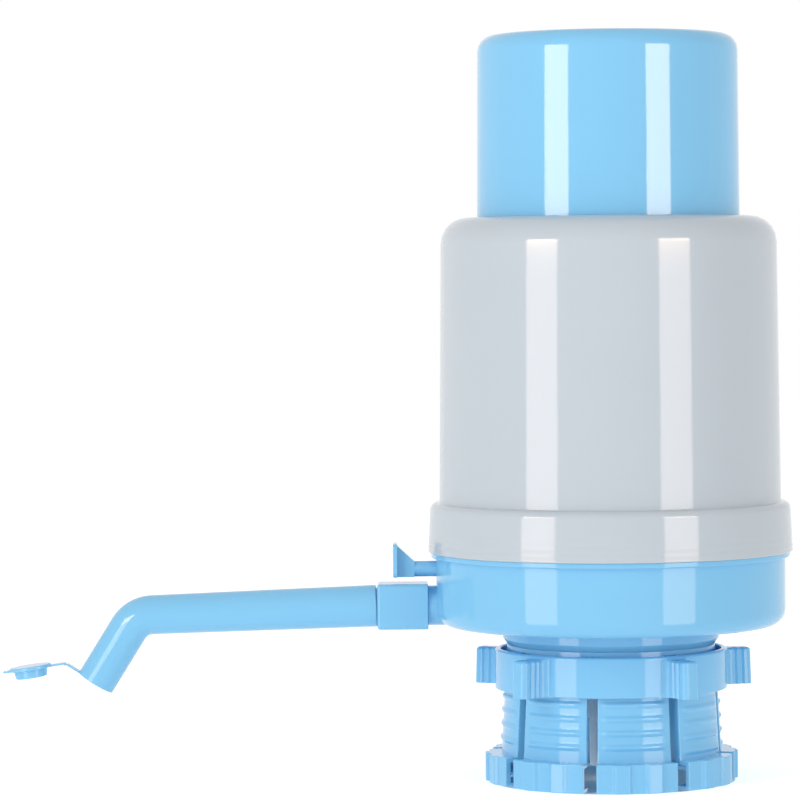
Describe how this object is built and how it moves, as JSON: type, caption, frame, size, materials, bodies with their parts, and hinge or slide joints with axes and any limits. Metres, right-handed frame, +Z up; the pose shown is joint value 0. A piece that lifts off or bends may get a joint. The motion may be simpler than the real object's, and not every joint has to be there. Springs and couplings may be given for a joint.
{
  "type": "water jug hand pump",
  "caption": "Hand pump that clamps on a large water jug: press cap over a bellows, covered air chamber, finger collet with clamp nut, vent button and swivelling bent spout with a strap plug.",
  "frame": {"origin": "on the pump's axis, in the plane of the collet flange's underside, where it stands", "axes": "+Z up along the pump's axis, -X towards the spout, Y across the spout"},
  "size_m": [0.2175, 0.1002, 0.2044],
  "materials": {
    "blue_plastic": "gloss",
    "grey_plastic": "gloss",
    "natural_plastic": "satin",
    "bellows_rubber": "matte",
    "dark_rubber": "satin",
    "white_silicone": "satin",
    "spring_steel": "satin"
  },
  "bodies": {
    "base": {"base_dish": "blue_plastic", "outer_cover": "grey_plastic", "bellows": "bellows_rubber", "return_spring": "spring_steel", "valve_deck": "natural_plastic", "water_elbow": "natural_plastic", "elbow_seal": "dark_rubber", "outlet_seal": "dark_rubber", "dip_tube_spigot": "natural_plastic", "neck_gasket": "white_silicone", "collet": "blue_plastic", "outlet_socket": "blue_plastic", "vent_spring": "spring_steel"},
    "press_head": {"press_cap": "blue_plastic", "pusher_plate": "natural_plastic"},
    "inlet_valve": {"inlet_valve": "dark_rubber"},
    "delivery_valve": {"delivery_valve": "dark_rubber"},
    "clamp_nut": {"clamp_nut": "blue_plastic"},
    "spout": {"spout": "blue_plastic", "spout_seal": "dark_rubber"},
    "spout_plug": {"spout_plug": "blue_plastic"},
    "vent_button": {"vent_button": "blue_plastic", "vent_seal": "dark_rubber", "vent_clip": "spring_steel"}
  },
  "joints": [
    {"name": "cap_press", "type": "slide", "parent": "base", "child": "press_head", "axis": [0, 0, -1], "range_m": [0, 0.038], "stiffness_N_per_m": 300, "springref_m": -0.02, "deforming": ["bellows", "return_spring"]},
    {"name": "inlet_valve_lift", "type": "slide", "parent": "press_head", "child": "inlet_valve", "axis": [0, 0, -1], "range_m": [0, 0.0015], "stiffness_N_per_m": 60, "springref_m": -0.002},
    {"name": "delivery_valve_lift", "type": "slide", "parent": "base", "child": "delivery_valve", "axis": [0, 0, -1], "range_m": [0, 0.0015], "stiffness_N_per_m": 60, "springref_m": -0.002},
    {"name": "nut_turn", "type": "hinge", "parent": "base", "child": "clamp_nut", "pos_m": [0, 0, 0.0308], "axis": [0, 0, 1], "range_deg": [-1260, 0]},
    {"name": "spout_turn", "type": "hinge", "parent": "base", "child": "spout", "pos_m": [-0.0602, 0, 0.0482], "axis": [-1, 0, 0], "continuous": true},
    {"name": "plug_swing", "type": "hinge", "parent": "spout", "child": "spout_plug", "pos_m": [-0.15022, 0, 0.03271], "axis": [0, -1, 0], "range_deg": [0, 140], "stiffness_Nm_per_rad": 0.002},
    {"name": "vent_press", "type": "slide", "parent": "base", "child": "vent_button", "axis": [1, 0, 0], "range_m": [0, 0.003], "stiffness_N_per_m": 400, "springref_m": -0.002, "deforming": ["vent_spring"]}
  ]
}
